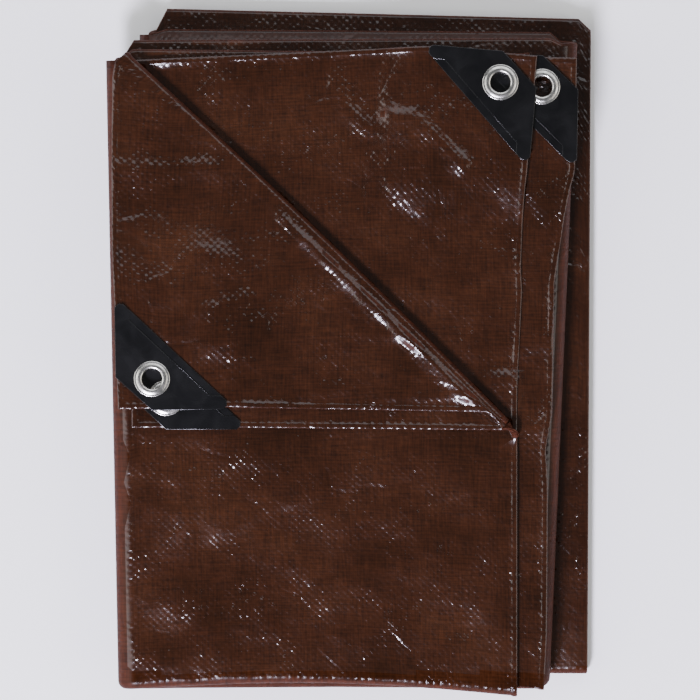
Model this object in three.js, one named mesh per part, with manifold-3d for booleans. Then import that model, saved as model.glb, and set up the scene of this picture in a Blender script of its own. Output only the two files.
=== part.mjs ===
// A folded poly tarp: a cloth doubled twice and folded in on itself to a flat package of 32 layers,
// with its front corner turned back. Four moulded corner patches and four metal eyelets hold the corners.
// Millimetres, X to the right, Y up the package, Z towards the viewer, the underside at Z = 0.
import * as THREE from "three";
import { mergeVertices } from "three/addons/utils/BufferGeometryUtils.js";
import Module from "manifold-3d";

const { lerp, degToRad, clamp } = THREE.MathUtils;

// Cloth
const clothThickness = 1.0;
const layerPitch = 1.3; // from the middle of one layer to the middle of the next
const packageHeight = 370; // along Y, one pass of the second folding
const packageWidth = 240; // along X, one pass of the last folding
const bendSteps = 4; // facets round a half-turn

// Corner patches: a right triangle with its corner cut off, moulded round both edges of the cloth
const patchLeg = { across: 63, down: 61 };
const patchCut = { across: 20, down: 18.5 };
const patchTip = 5; // width of the blunt ends of the legs
const patchTipBevel = 2;
const patchWall = 0.7;
const pieceGap = 0.3;

// Eyelets: a barrel through the patch and the cloth, with a flange on each side
const eyeletInset = { across: 20, down: 17.3 }; // from the edges of the cloth
const eyeletDiameter = 21;
const eyeletHole = 11.6;
const eyeletWall = 0.7;
const eyeletSegments = 24;

// The turned-back corner
const rollRadius = 1.6; // middle of the inner layer, round the slanting fold
const foldApex = new THREE.Vector2(-131.6, 171.3);
const foldEnd = new THREE.Vector2(90.5, -42.7);
const foldBow = 2.4; // how far the slanting fold bows out at its middle
const flapTail = 7; // what is left of the flap where the slanting fold runs out
const flapRest = { inner: 2.4, outer: 4.0 }; // height of the flap's two layers above the front layer

// The four passes of the last folding, front to back, as the places of their corners.
// topDrop is how far the top edge falls over the last cornerRun of cloth beside a fold.
const cornerRun = 6;
const passes = [
  {
    name: "front",
    left: { top: [-132.3, 173.6], bottom: [-125.2, -192.9] },
    right: { top: [109, 171.0], bottom: [97.5, -197.0] },
    topDrop: { left: 5, right: 0 },
    bottomBow: 5.5,
  },
  {
    name: "second",
    left: { top: [-132.3, 179.1], bottom: [-125.2, -193.5] },
    right: { top: [123.7, 180.3], bottom: [107.7, -193.5] },
    topDrop: { left: 10, right: 3 },
    bottomBow: 1,
  },
  {
    name: "third",
    left: { top: [-113.7, 186.7], bottom: [-108, -189] },
    right: { top: [123.7, 184.9], bottom: [107.7, -190.6] },
    topDrop: { left: 2, right: 5 },
    bottomBow: 1,
  },
  {
    name: "back",
    left: { top: [-113.7, 199.2], bottom: [-108, -184] },
    right: { top: [141.4, 192.9], bottom: [139.4, -186.1] },
    topDrop: { left: 12.5, right: 6 },
    bottomBow: 0,
  },
];

// The four corners of the cloth. Each lies flat, with its patch, on its own level.
// turn is anticlockwise, and lift is how far the corner is raised above its layer.
const corners = {
  third: { at: [109.1, 171.0], turn: -5, lift: 5.2, patch: 1 },
  fourth: { at: [132.4, 170.2], turn: -1, lift: 2.1, patch: 2 },
  outer: { at: [-134.2, -34.4], turn: 181, lift: 8.9, patch: 3 },
  inner: { at: [-126.5, -45.2], turn: 180, lift: 3.4, patch: 4 },
};
const cornerZone = 65; // flat cloth round each corner

// Side edges of the third and fourth sheets below their corners, from top to bottom
const sideEdges = [
  { y: 90, third: 101.5, fourth: 124.0 },
  { y: 42, third: 100.4, fourth: 119.3 },
  { y: -56, third: 97.2, fourth: 114.4 },
];
const frontEdge = 97.8; // side edge of the front pair of sheets below the flap
const sideEdgeFoot = { third: 96.5, fourth: 113.2 };
const hiddenEdge = 105; // side edges where the doubled cloth turns under the top

// Each folding lays the cloth in passes of one length, joined by half-turns of one radius.
const foldings = [
  { passLength: 0, radius: layerPitch / 2, passCount: 2 },
  { passLength: 0, radius: layerPitch, passCount: 2 },
  { passLength: packageHeight, radius: 2 * layerPitch, passCount: 2 },
  { passLength: packageWidth, radius: 4 * layerPitch, passCount: 4 },
];
const foldedLength = ({ passLength, radius, passCount }) =>
  passCount * passLength + (passCount - 1) * Math.PI * radius;
foldings[0].passLength = foldedLength(foldings[3]);
foldings[1].passLength = foldedLength(foldings[2]);
const [doubledAcross, doubledAlong, foldedAlong, foldedAcross] = foldings;

// Where a point lies after one folding: along a pass, and above the middle of the stack.
// pass is a whole number on a pass, and runs to the next one round a half-turn.
function fold({ passLength, radius, passCount }, distance, height) {
  const period = passLength + Math.PI * radius;
  const index = clamp(Math.floor(distance / period), 0, passCount - 1);
  const rest = distance - index * period;
  const forward = index % 2 === 0;
  const turning = rest > passLength && index < passCount - 1;
  const angle = turning ? (rest - passLength) / radius : 0;
  const side = forward ? 1 : -1;
  const centre = radius * (passCount - 2 - 2 * index);
  const reach = radius + side * height;
  if (turning)
    return {
      along: forward ? passLength + reach * Math.sin(angle) : -reach * Math.sin(angle),
      height: centre + reach * Math.cos(angle),
      pass: index + angle / Math.PI,
    };
  return { along: forward ? rest : passLength - rest, height: centre + reach, pass: index };
}

// Places along one folding: its passes cut at the given stations, its half-turns cut evenly.
function foldStops(folding, stationsOf) {
  const { passLength, radius, passCount } = folding;
  const stops = [];
  for (let index = 0; index < passCount; index++) {
    const start = index * (passLength + Math.PI * radius);
    const stations = stationsOf(index);
    const ordered = index % 2 === 0 ? stations : stations.map((a) => passLength - a).reverse();
    for (const station of ordered) stops.push({ distance: start + station, pass: index });
    if (index < passCount - 1)
      for (let step = 1; step < bendSteps; step++)
        stops.push({ distance: start + passLength + (Math.PI * radius * step) / bendSteps, pass: -1 });
  }
  return stops;
}

// Plan of a pass or half-turn: x and y from the place along it and from its height up the package.
function planPoint(pass, along, up) {
  const before = passes[Math.floor(pass)];
  const after = passes[Math.min(Math.ceil(pass), passes.length - 1)];
  const blend = pass - Math.floor(pass);
  const share = clamp(along / packageWidth, 0, 1);
  const onPass = (row) => {
    const rise = up / packageHeight;
    const leftX = lerp(row.left.bottom[0], row.left.top[0], rise);
    const rightX = lerp(row.right.bottom[0], row.right.top[0], rise);
    const fromLeft = clamp(1 - (1 - share) * (packageWidth / cornerRun), 0, 1);
    const fromRight = clamp(1 - share * (packageWidth / cornerRun), 0, 1);
    const top =
      lerp(row.right.top[1], row.left.top[1], share) -
      row.topDrop.left * fromLeft -
      row.topDrop.right * fromRight;
    const bottom =
      lerp(row.right.bottom[1], row.left.bottom[1], share) + row.bottomBow * Math.sin(Math.PI * share);
    const past = along < 0 ? -along : along > packageWidth ? packageWidth - along : 0;
    return [lerp(rightX, leftX, share) + past, lerp(bottom, top, rise)];
  };
  const a = onPass(before);
  const b = onPass(after);
  return new THREE.Vector2(lerp(a[0], b[0], blend), lerp(a[1], b[1], blend));
}

// The frame of a corner: its edges run back along two legs.
function cornerFrame({ at, turn }) {
  const angle = degToRad(turn);
  return {
    origin: new THREE.Vector2(...at),
    across: new THREE.Vector2(-Math.cos(angle), -Math.sin(angle)),
    down: new THREE.Vector2(Math.sin(angle), -Math.cos(angle)),
  };
}

// Columns of the cloth run from the first side edge, through both halves, to the second.
// The front pass has frontStops columns, numbered from the side edge in.
const frontStops = 12;
const rollStart = 7;
const rollEnd = rollStart - bendSteps;
function clothColumns() {
  const frontStations = Array.from({ length: frontStops }, (_, i) => (packageWidth * i) / (frontStops - 1));
  const otherStations = [0, cornerRun, packageWidth - cornerRun, packageWidth];
  const stops = foldStops(foldedAcross, (index) => (index === 0 ? frontStations : otherStations));
  const first = stops.map(({ distance, pass }, i) => ({ distance, front: pass === 0 ? i : -1, half: 0 }));
  const { passLength, radius } = doubledAcross;
  const turn = [];
  for (let step = 1; step < bendSteps; step++)
    turn.push({ distance: passLength + (Math.PI * radius * step) / bendSteps, front: -1, half: 0 });
  const whole = foldedLength(doubledAcross);
  const second = first.map(({ distance, front }) => ({ distance: whole - distance, front, half: 1 }));
  return [...first, ...turn, ...second.reverse()];
}

// Rows of the cloth run from the first end edge, through both halves, to the second.
const flapRun = foldEnd.distanceTo(new THREE.Vector2(...corners.outer.at));
const flapShares = [0, cornerZone / flapRun, 0.46, 0.66, 0.84, 0.95];
const runOut = { share: 1, curl: 0.5 }; // where the slanting fold is half open
const frontRows = [-54, -120];
function upAtLeft(y) {
  const { top, bottom } = passes[0].left;
  return (packageHeight * (y - bottom[1])) / (top[1] - bottom[1]);
}
function clothRows() {
  const whole = foldedLength(doubledAlong);
  const downTo = (y) => packageHeight - upAtLeft(y);
  const halfTurn = ({ passLength, radius }, kind, edges) => {
    const rows = [];
    for (let step = 0; step <= bendSteps; step++)
      rows.push({ distance: passLength + (Math.PI * radius * step) / bendSteps, kind, edges });
    return rows;
  };
  const flap = flapShares.map((share) => {
    const y = lerp(foldApex.y, foldEnd.y, share);
    return { distance: share === 0 ? 0 : downTo(y), kind: "flap", share, curl: 1 };
  });
  flap.push({ distance: downTo(foldEnd.y), kind: "flap", ...runOut });
  const frontEdges = [frontEdge, frontEdge - 0.6];
  const below = frontRows.map((y) => ({ distance: downTo(y), kind: "front", edges: frontEdges }));
  const frontTurn = halfTurn(foldedAlong, "front", frontEdges);
  const topTurn = halfTurn(doubledAlong, "front", [hiddenEdge, hiddenEdge]);
  const backRows = [
    { distance: 0, kind: "corner", order: 0, down: 0 },
    { distance: cornerZone, kind: "corner", order: 1, down: cornerZone },
    ...sideEdges.map(({ y, third, fourth }, order) => ({
      distance: downTo(y),
      kind: "side",
      order,
      edges: [fourth, third],
    })),
    ...halfTurn(foldedAlong, "side", [sideEdgeFoot.fourth, sideEdgeFoot.third]),
  ];
  const mirrored = backRows.map((row) => ({ ...row, distance: whole - row.distance })).reverse();
  return [...flap, ...below, ...frontTurn, ...topTurn, ...mirrored];
}

// Heights of the layers of the front pass, and how far each row and column carries a corner's lift
const frontMiddle = foldedAcross.radius * 3;
const underside = frontMiddle + layerPitch * 3.5 + clothThickness / 2;
const frontHeight = (layersAboveMiddle) => underside + frontMiddle + layerPitch * layersAboveMiddle;
const layerHeights = {
  inner: frontHeight(3.5),
  outer: frontHeight(3.5),
  third: frontHeight(1.5),
  fourth: frontHeight(0.5),
};
const hemStep = 0.8; // cloth left past the slanting fold, to a column, where it is half open
const liftAcross = [1, 1, 0.45];
const liftDown = { corner: [1, 1], side: [0.5], flap: [1, 1, 0.5, 0.15] };

const slant = foldEnd.clone().sub(foldApex).normalize();
const outOfFold = new THREE.Vector2(-slant.y, slant.x);
const between = (a, b, share) => a.clone().lerp(b, share);
const raise = (plan, height) => new THREE.Vector3(plan.x, plan.y, height);

// The turned-back corner: flat to the slanting fold, round it, and back over itself.
function flapPoint(column, row, left, height, flatHeight) {
  const name = column.half === 0 ? "inner" : "outer";
  const radius = column.half === 0 ? rollRadius : rollRadius + layerPitch;
  const turn = between(foldApex, foldEnd, row.share);
  turn.addScaledVector(outOfFold, foldBow * Math.sin(Math.PI * row.share));
  const index = column.front;
  if (index > rollStart)
    return raise(between(turn, left, (index - rollStart) / (frontStops - 1 - rollStart)), height);
  const above = height - flatHeight;
  if (index >= rollEnd || row.curl < 1) {
    const angle = (row.curl * Math.PI * (rollStart - Math.max(index, rollEnd))) / bendSteps;
    const pastRoll = Math.max(rollEnd - index, 0) * hemStep;
    turn.addScaledVector(outOfFold, (radius - above) * Math.sin(angle) + pastRoll * Math.cos(angle));
    const rise = radius - (radius - above) * Math.cos(angle) + pastRoll * Math.sin(angle);
    return raise(turn, flatHeight + rise);
  }
  const { origin, across, down } = cornerFrame(corners[name]);
  const tail = foldEnd.clone().add(new THREE.Vector2(0, -flapTail));
  const zoneEnd = origin.clone().addScaledVector(across, cornerZone);
  const inZone = row.share <= flapShares[1];
  const edge = inZone
    ? between(origin, zoneEnd, row.share / flapShares[1])
    : between(zoneEnd, tail, (row.share - flapShares[1]) / (1 - flapShares[1]));
  const back = turn.clone().sub(edge);
  const inside = inZone
    ? edge.clone().addScaledVector(down, cornerZone)
    : edge.clone().addScaledVector(back, Math.min(0.6, cornerZone / back.length()));
  const plan = index === 0 ? edge : index === 1 ? inside : between(inside, turn, 0.5);
  const carried = liftAcross[index] * (liftDown.flap[flapShares.indexOf(row.share)] ?? 0);
  const level = lerp(flapRest[name], corners[name].lift, carried);
  return raise(plan, layerHeights.inner + level - above);
}

// A layer of the front pass that isn't turned back, from its side edge to the left fold.
// The last two columns are the knee, where the top edge starts to fall, and the fold itself.
const hemRun = 16;
function frontPoint(column, row, left, up, height) {
  const index = column.front;
  const last = frontStops - 1;
  if (index === last) return raise(left, height);
  const knee = planPoint(0, packageWidth - cornerRun, up);
  const name = column.half === 0 ? "fourth" : "third";
  const lift = corners[name].lift * (liftAcross[index] ?? 0) * (liftDown[row.kind]?.[row.order] ?? 0);
  if (row.kind === "corner") {
    const { origin, across, down } = cornerFrame(corners[name]);
    const edge = origin.clone().addScaledVector(down, row.down);
    const inside = edge.clone().addScaledVector(across, cornerZone);
    const plan = index === 0 ? edge : between(inside, knee, (index - 1) / (last - 2));
    return raise(plan, height + lift);
  }
  const edge = row.edges[column.half];
  const stepIn = row.kind === "front" ? { index: rollStart, run: hemRun } : { index: 1, run: cornerZone };
  const inside = edge - stepIn.run;
  const x =
    index <= stepIn.index
      ? lerp(edge, inside, index / stepIn.index)
      : lerp(inside, knee.x, (index - stepIn.index) / (last - 1 - stepIn.index));
  const share = (edge - x) / (edge - left.x);
  const { y } = planPoint(0, share * packageWidth, up);
  return raise(new THREE.Vector2(x, y), height + lift);
}

// Where a point of the cloth lies in the package, height being its distance off the middle of the cloth.
function clothPoint(column, row, height) {
  const across = fold(doubledAcross, column.distance, height);
  const along = fold(doubledAlong, row.distance, across.height);
  const block = fold(foldedAlong, along.along, along.height);
  const stack = fold(foldedAcross, across.along, block.height);
  const up = packageHeight - block.along;
  const z = underside + stack.height;
  if (column.front < 0) return raise(planPoint(stack.pass, stack.along, up), z);
  const left = planPoint(0, packageWidth, up);
  if (row.kind !== "flap") return frontPoint(column, row, left, up, z);
  const flatHeight = z - (column.half === 0 ? height : -height);
  return flapPoint(column, row, left, z, flatHeight);
}

// A sheet from a grid of its two faces, closed round its four edges.
function clothGeometry() {
  const columns = clothColumns();
  const rows = clothRows();
  const points = [];
  for (const side of [1, -1])
    for (const row of rows)
      for (const column of columns) points.push(clothPoint(column, row, (side * clothThickness) / 2));
  const wide = columns.length;
  const high = rows.length;
  const at = (face, row, column) => (face * high + row) * wide + column;
  const faces = [];
  const quad = (a, b, c, d) => faces.push(a, b, c, a, c, d);
  for (let row = 0; row + 1 < high; row++)
    for (let column = 0; column + 1 < wide; column++) {
      const [r, c] = [row + 1, column + 1];
      quad(at(0, row, column), at(0, row, c), at(0, r, c), at(0, r, column));
      quad(at(1, row, column), at(1, r, column), at(1, r, c), at(1, row, c));
    }
  const [endRow, endColumn] = [high - 1, wide - 1];
  for (let column = 0; column < endColumn; column++) {
    quad(at(1, 0, column), at(1, 0, column + 1), at(0, 0, column + 1), at(0, 0, column));
    quad(at(0, endRow, column), at(0, endRow, column + 1), at(1, endRow, column + 1), at(1, endRow, column));
  }
  for (let row = 0; row < endRow; row++) {
    quad(at(0, row, 0), at(0, row + 1, 0), at(1, row + 1, 0), at(1, row, 0));
    quad(at(1, row, endColumn), at(1, row + 1, endColumn), at(0, row + 1, endColumn), at(0, row, endColumn));
  }
  const geometry = new THREE.BufferGeometry();
  geometry.setAttribute("position", new THREE.Float32BufferAttribute(points.flatMap((p) => p.toArray()), 3));
  geometry.setIndex(faces);
  return geometry;
}

const wasm = await Module();
wasm.setup();

// A closed geometry as a solid for joins and cuts, and back
function solid(geometry) {
  const bare = geometry.clone();
  bare.deleteAttribute("normal");
  bare.deleteAttribute("uv");
  const merged = mergeVertices(bare, 1e-3);
  return new wasm.Manifold(
    new wasm.Mesh({
      numProp: 3,
      vertProperties: merged.attributes.position.array,
      triVerts: new Uint32Array(merged.index.array),
    }),
  );
}

function geometryOf(made) {
  const mesh = made.getMesh();
  const geometry = new THREE.BufferGeometry();
  geometry.setAttribute("position", new THREE.BufferAttribute(mesh.vertProperties, 3));
  geometry.setIndex(new THREE.BufferAttribute(mesh.triVerts, 1));
  geometry.computeVertexNormals();
  return geometry;
}

// A round cutter along Z
function roundCutter(radius, depth, x, y, z) {
  const cutter = new THREE.CylinderGeometry(radius, radius, depth, eyeletSegments);
  cutter.rotateX(Math.PI / 2);
  cutter.translate(x, y, z);
  return solid(cutter);
}

const slotHeight = clothThickness + 2 * pieceGap;
const patchHeight = slotHeight + 2 * patchWall;
const barrelRadius = eyeletHole / 2 + eyeletWall;

// A corner patch, the corner of its cloth at the origin and its legs along -X and -Y
function patchGeometry() {
  const rim = patchWall + pieceGap;
  const { across, down } = patchLeg;
  const outline = [
    [patchCut.across, 0],
    [across - patchTipBevel, 0],
    [across, patchTipBevel],
    [across, patchTip],
    [patchTip, down],
    [patchTipBevel, down],
    [0, down - patchTipBevel],
    [0, patchCut.down],
  ].map(([x, y]) => new THREE.Vector2(rim - x, rim - y));
  const shape = new THREE.Shape(outline);
  const plate = new THREE.ExtrudeGeometry(shape, { depth: patchHeight, bevelEnabled: false });
  plate.translate(0, 0, -patchHeight / 2);
  const slotSize = 2 * cornerZone;
  const slot = new THREE.BoxGeometry(slotSize, slotSize, slotHeight);
  slot.translate(pieceGap - slotSize / 2, pieceGap - slotSize / 2, 0);
  const [x, y] = [-eyeletInset.across, -eyeletInset.down];
  const hole = roundCutter(barrelRadius + pieceGap, 2 * patchHeight, x, y, 0);
  return geometryOf(solid(plate).subtract(solid(slot)).subtract(hole));
}

// An eyelet about Z: a barrel with a rounded flange at each end
function eyeletGeometry() {
  const inner = eyeletHole / 2;
  const outer = eyeletDiameter / 2;
  const under = patchHeight / 2 + pieceGap;
  const top = under + eyeletWall;
  const upper = [
    [inner, under],
    [inner + 0.35, top - 0.2],
    [inner + 1.1, top],
    [outer - 1.1, top],
    [outer - 0.3, top - 0.2],
    [outer, under + 0.2],
    [outer - 0.3, under],
    [barrelRadius, under],
  ];
  const lower = upper.map(([r, z]) => [r, -z]).reverse();
  const profile = [...upper, ...lower, upper[0]].map(([r, z]) => new THREE.Vector2(r, z));
  const ring = new THREE.LatheGeometry(profile.reverse(), eyeletSegments);
  ring.rotateX(Math.PI / 2);
  return ring;
}

// Materials
const brownPoly = new THREE.MeshStandardMaterial({ color: 0x4a2519, roughness: 0.35, metalness: 0 });
const blackPlastic = new THREE.MeshStandardMaterial({ color: 0x17181b, roughness: 0.45, metalness: 0 });
const silverMetal = new THREE.MeshStandardMaterial({ color: 0xc9c8c4, roughness: 0.25, metalness: 1 });

const tarp = new THREE.Group();

let cloth = solid(clothGeometry());
for (const [name, corner] of Object.entries(corners)) {
  const level = layerHeights[name] + corner.lift;
  const holder = new THREE.Group();
  holder.position.set(corner.at[0], corner.at[1], level);
  holder.rotation.z = degToRad(corner.turn);
  holder.updateMatrixWorld(true);
  const patch = new THREE.Mesh(patchGeometry(), blackPlastic);
  patch.name = `corner_patch_${corner.patch}`;
  const eyelet = new THREE.Mesh(eyeletGeometry(), silverMetal);
  eyelet.name = `eyelet_${corner.patch}`;
  eyelet.position.set(-eyeletInset.across, -eyeletInset.down, 0);
  holder.add(patch, eyelet);
  tarp.add(holder);
  const centre = holder.localToWorld(eyelet.position.clone());
  cloth = cloth.subtract(roundCutter(barrelRadius + pieceGap, slotHeight, centre.x, centre.y, centre.z));
}
const sheet = new THREE.Mesh(geometryOf(cloth), brownPoly);
sheet.name = "tarp_sheet";
tarp.add(sheet);

export default tarp;
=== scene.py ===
import bpy
import bmesh
import math
from functools import partial
import numpy as np
from mathutils import Matrix, Vector


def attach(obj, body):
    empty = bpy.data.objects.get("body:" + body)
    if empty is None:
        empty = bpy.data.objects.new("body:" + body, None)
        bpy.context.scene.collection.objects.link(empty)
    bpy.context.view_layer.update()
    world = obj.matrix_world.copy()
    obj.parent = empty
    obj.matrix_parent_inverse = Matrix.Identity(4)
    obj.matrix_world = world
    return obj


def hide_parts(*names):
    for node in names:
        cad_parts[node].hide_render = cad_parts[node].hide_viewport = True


# Folded poly tarp seen from above. Lengths are in millimetres until a mesh is made.
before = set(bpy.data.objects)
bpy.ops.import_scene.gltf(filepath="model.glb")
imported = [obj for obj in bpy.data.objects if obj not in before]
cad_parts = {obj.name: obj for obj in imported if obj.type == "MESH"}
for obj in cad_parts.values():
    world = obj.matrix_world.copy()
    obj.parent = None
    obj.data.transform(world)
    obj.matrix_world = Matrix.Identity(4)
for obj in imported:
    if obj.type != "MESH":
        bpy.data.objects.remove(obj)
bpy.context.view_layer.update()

mm = 0.001
pi = math.pi


# Colours are written as sRGB hex values
def linear(hexColour):
    values = [int(hexColour[i:i + 2], 16) / 255 for i in (1, 3, 5)]
    return [v / 12.92 if v <= 0.04045 else ((v + 0.055) / 1.055) ** 2.4 for v in values] + [1.0]


# The kind is without the prefix of its tree. A link comes from a socket, or from a node's first output.
def addNode(tree, kind, settings=None, links=None):
    node = tree.nodes.new(tree.bl_idname.replace("NodeTree", "Node") + kind)
    for name, value in (settings or {}).items():
        if isinstance(name, str) and hasattr(node, name):
            setattr(node, name, value)
        else:
            node.inputs[name].default_value = value
    for name, source in (links or {}).items():
        socket = source.outputs[0] if isinstance(source, bpy.types.Node) else source
        tree.links.new(socket, node.inputs[name])
    return node


# A material, and the function that adds nodes to its tree
def newMaterial(name):
    material = bpy.data.materials.new(name)
    material.use_nodes = True
    material.node_tree.nodes.clear()
    return material, partial(addNode, material.node_tree)


def addObject(name, data):
    made = bpy.data.objects.new(name, data)
    bpy.context.collection.objects.link(made)
    return made


# Pattern scale that gives one repeat in a length in mm
def perMetre(length):
    return 1000 / length


# Colour and roughness that both follow a pattern: stops are (place, hex colour), the gloss runs over a span
def toneAndGloss(add, pattern, stops, span, gloss):
    tone = add("ValToRGB", {}, {"Fac": pattern})
    ramp = tone.color_ramp.elements
    for index, (place, colour) in enumerate(stops):
        stop = ramp[index] if index < 2 else ramp.new(place)
        stop.position, stop.color = place, linear(colour)
    settings = {"From Min": span[0], "From Max": span[1], "To Min": gloss[0], "To Max": gloss[1]}
    return tone, add("MapRange", settings, {"Value": pattern})


# The rest of a material, with a relief that is the sum of patterns, each with its rise in mm
def finishMaterial(add, tone, gloss, parts, settings):
    height = None
    for part, rise in parts:
        times = {"operation": "MULTIPLY_ADD", 1: rise, 2: 0.0}
        height = add("Math", times, {0: part, 2: height} if height else {0: part})
    relief = add("Bump", {"Distance": mm}, {"Height": height})
    shader = add("BsdfPrincipled", settings, {"Base Color": tone, "Roughness": gloss, "Normal": relief})
    add("OutputMaterial", {}, {"Surface": shader})
    return shader


# The cloth: a 2.0 by 1.5 m sheet doubled both ways, folded in two up the package and in four across it
tarp = {
    "pitch": 1.3,  # from layer to layer
    "thickness": 0.34,  # coated weave, drawn a little thick
    "height": 370.0,  # one pass up the package
    "width": 240.0,  # one pass across it
    "bendSteps": 8,
    "cornerRun": 6.0,  # the top edge of a pass falls over this run beside a fold
    "hemRope": 0.38,  # half the extra thickness where a rope runs in the hem
    "hemWidth": 3.4,
    "hemNeeds": 9.0,  # cloth beside the edge that the whole hem needs
    "cutSize": (2.02, 1.50),
}

# The four passes, front to back: x and y at the ends of their left and right folds. The top edge drops near a fold
# and the bottom edge bows up.
passes = {
    "topLeft": [(-132.3, 173.6), (-132.3, 179.1), (-113.7, 186.7), (-113.7, 199.2)],
    "bottomLeft": [(-125.2, -192.9), (-125.2, -193.5), (-108, -189), (-108, -184)],
    "topRight": [(109, 171.0), (123.7, 180.3), (123.7, 184.9), (141.4, 192.9)],
    "bottomRight": [(97.5, -197.0), (107.7, -193.5), (107.7, -190.6), (139.4, -186.1)],
    "dropLeft": [5, 10, 2, 12.5],
    "dropRight": [0, 3, 5, 6],
    "bow": [5.5, 1, 1, 0],
}
bowTop = 0.36  # share of the height where the bow has faded out

# The four corners of the cloth, each with its patch and eyelet. turn is in degrees, anticlockwise.
corners = {
    "third": {"at": (109.1, 171.0), "turn": -5, "lift": 5.2, "patch": 1},
    "fourth": {"at": (132.4, 170.2), "turn": -1, "lift": 2.1, "patch": 2},
    "outer": {"at": (-134.2, -34.4), "turn": 181, "lift": 8.9, "patch": 3},
    "inner": {"at": (-126.5, -45.2), "turn": 180, "lift": 3.4, "patch": 4},
}

# The turned-back corner and its slanting fold
flap = {
    "rollRadius": 1.6,
    "apex": (-131.6, 171.3),
    "end": (90.5, -42.7),
    "bow": 2.4,
    "tail": 4.0,
    "rollRamp": 26.0,  # the layers rise to the roll over this run
    "columnStep": 2.9,  # between columns near the edge, for a neat opening round an eyelet
    "columnsNear": 10,
    "outerHemEnd": (81.0, -36.2),
    "rest": {"inner": 2.4, "outer": 4.0},
    "zone": 65.0,  # the cloth lies square to its patch up to here from a corner
    "zoneFade": 1.9,  # and freely past this many times that
    "plainZone": {"square": (0.8, 1.7), "lift": (1, 1.6)},  # the same where the corner isn't turned back
    "leadEnd": 0.7,  # rows leave the edge squarely at the top, and run straight to the roll from this share on
    "bulge": [(-34, 0), (20, 1.2), (60, 3.4), (120, 4.8), (160, 5.6), (171, 3.6)],  # its left edge, y and mm out
    "bulgeShare": 0.2,  # the bulge fades out up to this share of the fold
    "lastShare": 0.95,  # the hem turns to the end of the fold past this share of it
}

# Side edges of the cloth, from top to bottom: (y, x)
sideEdges = {
    "third": [(171.0, 109.1), (106, 103.4), (99, 101.8), (66, 100.4), (50, 99.8), (38, 100.6), (-18, 97.7),
              (-197, 96.5)],
    "fourth": [(170.2, 132.4), (112, 132.2), (99, 124.2), (70, 123.6), (42, 119.3), (-34, 118.1), (-53, 114.2),
               (-75, 115.6), (-160, 115.0), (-197, 113.2)],
    "front": [(-43, 97.6), (-197, 97.8)],
}
hiddenEdge = 105.0  # x of the side edge of the inner sheets, which don't show
secondBack = 0.6  # the second half of the cloth ends this much further in
gatherTo = 16.0  # gathered columns lie this near to the side edge
noHem = 99.0  # distance from a cut edge where the cloth is far from its hem


def folding(passLength, radius, count):
    return {"pass": passLength, "radius": radius, "count": count}


def foldedLength(fold):
    return fold["count"] * fold["pass"] + (fold["count"] - 1) * pi * fold["radius"]


foldAcross = folding(tarp["width"], 4 * tarp["pitch"], 4)
foldAlong = folding(tarp["height"], 2 * tarp["pitch"], 2)
doubleAcross = folding(foldedLength(foldAcross), tarp["pitch"] / 2, 2)
doubleAlong = folding(foldedLength(foldAlong), tarp["pitch"], 2)
sheetWide = foldedLength(doubleAcross)


# Where points lie after one folding: along a pass, above the middle of the stack, and on which pass
def layFold(fold, distance, height):
    length, radius, count = fold["pass"], fold["radius"], fold["count"]
    period = length + pi * radius
    index = np.clip(np.floor(distance / period), 0, count - 1)
    rest = distance - index * period
    forward = index % 2 == 0
    turning = (rest > length) & (index < count - 1)
    angle = np.where(turning, (rest - length) / radius, 0.0)
    reach = radius + np.where(forward, 1, -1) * height
    straight = np.where(forward, rest, length - rest)
    turned = np.where(forward, length + reach * np.sin(angle), -reach * np.sin(angle))
    centre = radius * (count - 2 - 2 * index)
    return np.where(turning, turned, straight), centre + reach * np.cos(angle), index + angle / pi


def mix(a, b, share):
    return a + (b - a) * share


passTable = {key: np.array(values, float) for key, values in passes.items()}


# Plan of the stack: x and y from the pass, the place along it and the height up the package
def planPoint(passPlace, along, up):
    width, height = tarp["width"], tarp["height"]
    share = np.clip(along / width, 0, 1)
    rise = up / height
    past = np.where(along < 0, -along, np.where(along > width, width - along, 0))

    def onPass(index):
        corner = {key: value[index] for key, value in passTable.items()}
        leftX = mix(corner["bottomLeft"][..., 0], corner["topLeft"][..., 0], rise)
        rightX = mix(corner["bottomRight"][..., 0], corner["topRight"][..., 0], rise)
        nearLeft = np.clip(1 - (1 - share) * width / tarp["cornerRun"], 0, 1)
        nearRight = np.clip(1 - share * width / tarp["cornerRun"], 0, 1)
        top = mix(corner["topRight"][..., 1], corner["topLeft"][..., 1], share)
        top = top - corner["dropLeft"] * nearLeft - corner["dropRight"] * nearRight
        bottom = mix(corner["bottomRight"][..., 1], corner["bottomLeft"][..., 1], share)
        bow = corner["bow"] * np.sin(pi * share) * np.clip(1 - rise / bowTop, 0, 1)
        return mix(rightX, leftX, share) + past, mix(bottom, top, rise) + bow

    before = np.floor(passPlace).astype(int)
    after = np.minimum(np.ceil(passPlace), foldAcross["count"] - 1).astype(int)
    blend = passPlace - before
    ax, ay = onPass(before)
    bx, by = onPass(after)
    return mix(ax, bx, blend), mix(ay, by, blend)


def smooth(value, low, high):
    t = np.clip((value - low) / (high - low), 0, 1)
    return t * t * (3 - 2 * t)


def cornerFrame(name):
    corner = corners[name]
    angle = math.radians(corner["turn"])
    across = np.array([-math.cos(angle), -math.sin(angle)])
    down = np.array([math.sin(angle), -math.cos(angle)])
    return np.array(corner["at"]), across, down


def sideEdge(name, y):
    table = sideEdges[name][::-1]
    return np.interp(y, *zip(*table))


# Goes on evenly from the last of some places to further ones, each given with its count
def goOn(places, *spans):
    for end, count in spans:
        places = np.concatenate([places, np.linspace(places[-1], end, count)[1:]])
    return places


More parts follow.
